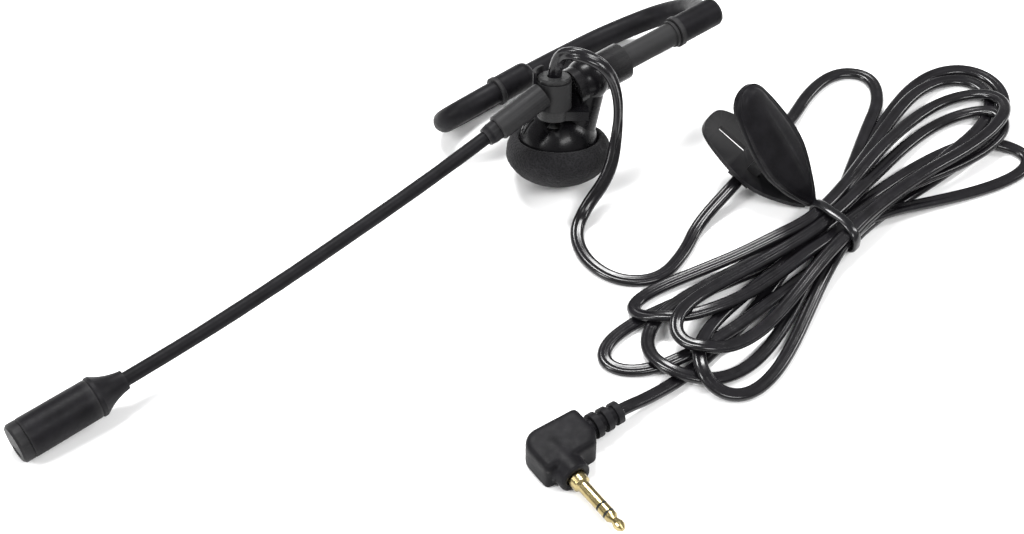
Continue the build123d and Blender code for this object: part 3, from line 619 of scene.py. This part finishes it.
def foam_mesh():
    """The foam's outline turned about the ear's axis, roughened like cut foam."""
    corners = [Vector((radius, along, 0)) * MM for along, radius in FOAM_OUTLINE]
    outline = route_line("foam_outline", corners, 6)
    rings = []
    for step in range(FOAM_SIDES + 1):
        turn = math.tau * (step % FOAM_SIDES) / FOAM_SIDES
        out = ear_across * math.cos(turn) + ear_side * math.sin(turn)
        ring = []
        for point in outline:
            place = rim + out * point.x + ear_up * point.y
            rough = noise.noise(place * 2100) * PORE_DEPTH + noise.noise(place * 420) * DENT_DEPTH - FOAM_SINK
            push = (out * point.x + ear_up * (point.y + 2 * MM)).normalized()
            ring.append(place + push * rough * MM * min(1, point.x / MM))
        rings.append(ring)
    count = len(outline)
    faces = [(row * count + column, row * count + column + 1, (row + 1) * count + column + 1,
              (row + 1) * count + column) for row in range(FOAM_SIDES) for column in range(count - 1)]
    piece = add_mesh("foam", [point for ring in rings for point in ring], faces)
    shape = bmesh.new()
    shape.from_mesh(piece.data)
    bmesh.ops.remove_doubles(shape, verts=shape.verts, dist=0.02 * MM)
    bmesh.ops.holes_fill(shape, edges=shape.edges)
    shape.to_mesh(piece.data)
    shape.free()
    outward(piece)
    return piece


foam = foam_mesh()
dress(foam, FOAM)
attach(foam, "earpiece")
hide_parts("foam_cover")

# ---- clip: the front plate's crowned face, with its grip ridge; in millimetres ---------
CLIP_TIP = mm(74.3, -48.05, 2.1)
CLIP_OPENING = math.radians(28)
PLATE = 1.4
FRONT_LENGTH = 29.92
FRONT_LIFT = 0.35
COVER_ROWS = 90
COVER_SIDES = 72
COVER_BACK = 0.15
CROWN_HEIGHT = 1.15
RIDGE_HEIGHT = 0.85
RIDGE_WIDTH = 0.5
RIDGE_START = 0.10
RIDGE_SHARE = 0.76
RIM_DEPTH = 0.22
RIM_INSET = 1.25
RIM_WIDTH = 0.3
clip_across = Vector(joint("clip_press")["axis"]).normalized()
clip_rise = Vector((-0.291, 0.850, 0.436)).normalized()
clip_face = clip_rise.cross(clip_across)
front_rise = clip_rise * math.cos(CLIP_OPENING) + clip_face * math.sin(CLIP_OPENING)
front_face = front_rise.cross(clip_across)
LEAF_WIDTHS = ((0, 0.6), (0.16, 3.7), (0.39, 6.15), (0.575, 6.25), (0.77, 5.4), (0.9, 4.4),
               (1.0, 4.0))
LEAF_ROUND = 0.86


def leaf_width(share):
    """Half the leaf's width, at a share of its length from the tip."""
    for (before, narrow), (after, wide) in zip(LEAF_WIDTHS, LEAF_WIDTHS[1:]):
        if share <= after:
            part = (share - before) / (after - before)
            return narrow + (wide - narrow) * part
    return LEAF_WIDTHS[-1][1]


def smooth_width(share):
    """The leaf's half width with its corners rounded off, and a round finger end."""
    near = [leaf_width(min(LEAF_ROUND, max(0, share + offset))) for offset in (-0.06, -0.03, 0, 0.03, 0.06)]
    past = max(0, share - LEAF_ROUND) / (1 - LEAF_ROUND)
    return sum(near) / len(near) * max(0, 1 - past ** 2) ** 0.5


def cover_height(share, across, half):
    """The cover's height over the plate's back: a crown, a sharp ridge and a groove round the rim."""
    flank = 1 - min(1, abs(across) / half) ** 2
    crown = CROWN_HEIGHT * flank * min(1, half / 4)
    ridge_end = math.sin(math.pi * min(1, max(0, (share - RIDGE_START) / RIDGE_SHARE)))
    ridge = RIDGE_HEIGHT * math.exp(-abs(across) / RIDGE_WIDTH) * ridge_end
    groove = RIM_DEPTH * math.exp(-((abs(across) - half + RIM_INSET) / RIM_WIDTH) ** 2) * min(1, half / 3)
    return PLATE + 0.08 + crown + max(0, ridge) - groove


def clip_cover_mesh():
    """A crowned leaf that sheathes the front plate, with a ridge for grip."""
    rings = []
    for row in range(COVER_ROWS):
        share = min(0.999, 0.004 + row / (COVER_ROWS - 1))
        half = max(0.25, smooth_width(share) + 0.12)
        middle = CLIP_TIP + front_face * FRONT_LIFT * MM + front_rise * (share * FRONT_LENGTH - 0.05) * MM
        ring = []
        for step in range(COVER_SIDES):
            turn = math.tau * step / COVER_SIDES
            across = squared(math.cos(turn), 0.62) * half
            height = -COVER_BACK
            if turn < math.pi:
                full = cover_height(share, across, half) + COVER_BACK
                height = full * squared(math.sin(turn), 0.35) - COVER_BACK
            ring.append(middle + (clip_across * across + front_face * height) * MM)
        rings.append(ring)
    return rings_mesh("clip_front_face", rings)


clip_cover = clip_cover_mesh()
dress(clip_cover, SATIN)
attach(clip_cover, "clip_jaw")

# ---- floor and light ----------------------------------------------------------------
floor = add_mesh("floor", [(-3, -3, 0), (3, -3, 0), (3, 3, 0), (-3, 3, 0)], [(0, 1, 2, 3)], smooth=False)
floor_paint = Nodes("pale_floor")
floor_paint.join(floor_paint.colours(floor_paint.noise(0.4, 3), (0.90, 0.90, 0.90), (0.94, 0.94, 0.94)),
                 floor_paint.shader.inputs["Base Color"])
floor_paint.shader.inputs["Roughness"].default_value = 0.9
dress(floor, floor_paint.material)


def area_light(name, place, aim, size, power):
    """A soft square light at a place, turned towards another."""
    light = bpy.data.lights.new(name, "AREA")
    light.shape = "RECTANGLE"
    light.size, light.size_y = size
    light.energy = power
    holder = bpy.data.objects.new(name, light)
    bpy.context.collection.objects.link(holder)
    holder.location = place
    holder.rotation_mode = "QUATERNION"
    holder.rotation_quaternion = (aim - place).to_track_quat("-Z", "Y")


centre = (cad_low + cad_high) / 2
area_light("top_light", centre + Vector((0.10, 0.30, 0.60)), centre, (0.30, 0.16), 6.0)
area_light("left_light", centre + Vector((-0.55, 0.10, 0.45)), centre, (0.12, 0.40), 3.6)
area_light("front_light", centre + Vector((-0.05, -0.60, 0.75)), centre, (0.50, 0.20), 5.8)
area_light("right_light", centre + Vector((0.60, -0.20, 0.40)), centre, (0.10, 0.30), 2.2)
world = bpy.data.worlds.new("studio")
bpy.context.scene.world = world
world.use_nodes = True
world.node_tree.nodes["Background"].inputs["Color"].default_value = (1, 1, 1, 1)
world.node_tree.nodes["Background"].inputs["Strength"].default_value = 0.40
bpy.context.scene.view_settings.view_transform = "Standard"
